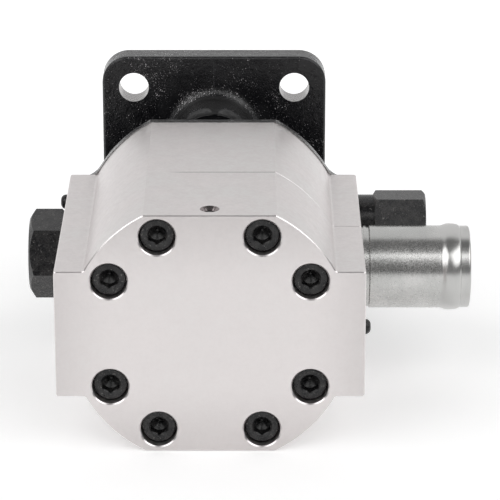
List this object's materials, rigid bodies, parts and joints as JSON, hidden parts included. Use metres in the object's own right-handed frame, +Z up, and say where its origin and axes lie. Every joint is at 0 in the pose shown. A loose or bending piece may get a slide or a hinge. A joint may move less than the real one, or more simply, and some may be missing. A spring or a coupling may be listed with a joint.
{
  "type": "hydraulic gear pump",
  "caption": "Two-stage external gear pump with a square-flanged cast neck, eared aluminium housings, a hose tube inlet, a hex outlet adapter and a keyed shaft.",
  "frame": {"origin": "drive shaft axis at the flange's mounting face", "axes": "+Y along the drive shaft towards its free end, +X to the inlet side, +Z up from the idler to the drive shaft"},
  "size_m": [0.1356, 0.1638, 0.0861],
  "materials": {
    "satin_aluminium": "satin machined",
    "black_paint": "black painted casting, semi-gloss",
    "black_oxide_steel": "black oxide",
    "zinc_plated_steel": "bright zinc plate",
    "ground_steel": "ground",
    "bearing_bronze": "plain",
    "seal_rubber": "matt",
    "spring_steel": "drawn wire"
  },
  "bodies": {
    "housing": {"mounting_flange": "black_paint", "front_body": "satin_aluminium", "rear_body": "satin_aluminium", "cap_screws": "black_oxide_steel", "dowel_pins": "ground_steel", "front_shaft_bush": "bearing_bronze", "front_bearing_block": "satin_aluminium", "front_block_bushes": "bearing_bronze", "wear_plate": "bearing_bronze", "centre_bearing_block": "satin_aluminium", "centre_block_bushes": "bearing_bronze", "rear_bearing_block": "satin_aluminium", "rear_block_bushes": "bearing_bronze", "front_balance_seal": "seal_rubber", "rear_balance_seal": "seal_rubber", "flange_joint_seal": "seal_rubber", "body_joint_seal": "seal_rubber", "shaft_seal": "seal_rubber", "seal_retaining_ring": "spring_steel", "inlet_tube": "zinc_plated_steel", "inlet_tube_seal": "seal_rubber", "outlet_adapter": "black_oxide_steel", "outlet_adapter_seal": "seal_rubber", "check_valve_spring": "spring_steel", "unloading_valve_cap": "black_oxide_steel", "unloading_valve_cap_seal": "seal_rubber", "unloading_valve_spring": "spring_steel", "side_passage_plugs": "black_oxide_steel", "top_passage_plug": "black_oxide_steel"},
    "drive_train": {"drive_shaft": "ground_steel", "stage1_gear_key": "ground_steel", "stage2_gear_key": "ground_steel", "stage1_drive_gear": "ground_steel", "stage2_drive_gear": "ground_steel"},
    "stage1_idler": {"stage1_idler_shaft": "ground_steel", "stage1_driven_gear": "ground_steel"},
    "stage2_idler": {"stage2_idler_shaft": "ground_steel", "stage2_driven_gear": "ground_steel"},
    "check_valve": {"check_valve_poppet": "ground_steel"},
    "unloading_valve": {"unloading_valve_spool": "ground_steel"}
  },
  "joints": [
    {"name": "drive_spin", "type": "hinge", "parent": "housing", "child": "drive_train", "pos_m": [0, 0, 0], "axis": [0, 1, 0], "continuous": true},
    {"name": "stage1_idler_spin", "type": "hinge", "parent": "housing", "child": "stage1_idler", "pos_m": [0, -0.0675, -0.027], "axis": [0, 1, 0], "continuous": true},
    {"name": "stage2_idler_spin", "type": "hinge", "parent": "housing", "child": "stage2_idler", "pos_m": [0, -0.1025, -0.027], "axis": [0, 1, 0], "continuous": true},
    {"name": "check_valve_lift", "type": "slide", "parent": "housing", "child": "check_valve", "axis": [-1, 0, 0], "range_m": [0, 0.0022], "stiffness_N_per_m": 400, "springref_m": -0.003, "deforming": ["check_valve_spring"]},
    {"name": "unloading_valve_lift", "type": "slide", "parent": "housing", "child": "unloading_valve", "axis": [1, 0, 0], "range_m": [0, 0.0025], "stiffness_N_per_m": 3000, "springref_m": -0.004, "deforming": ["unloading_valve_spring"]}
  ],
  "couplings": [
    {"joint": "stage1_idler_spin", "follows": "drive_spin", "ratio": -1},
    {"joint": "stage2_idler_spin", "follows": "drive_spin", "ratio": -1}
  ]
}
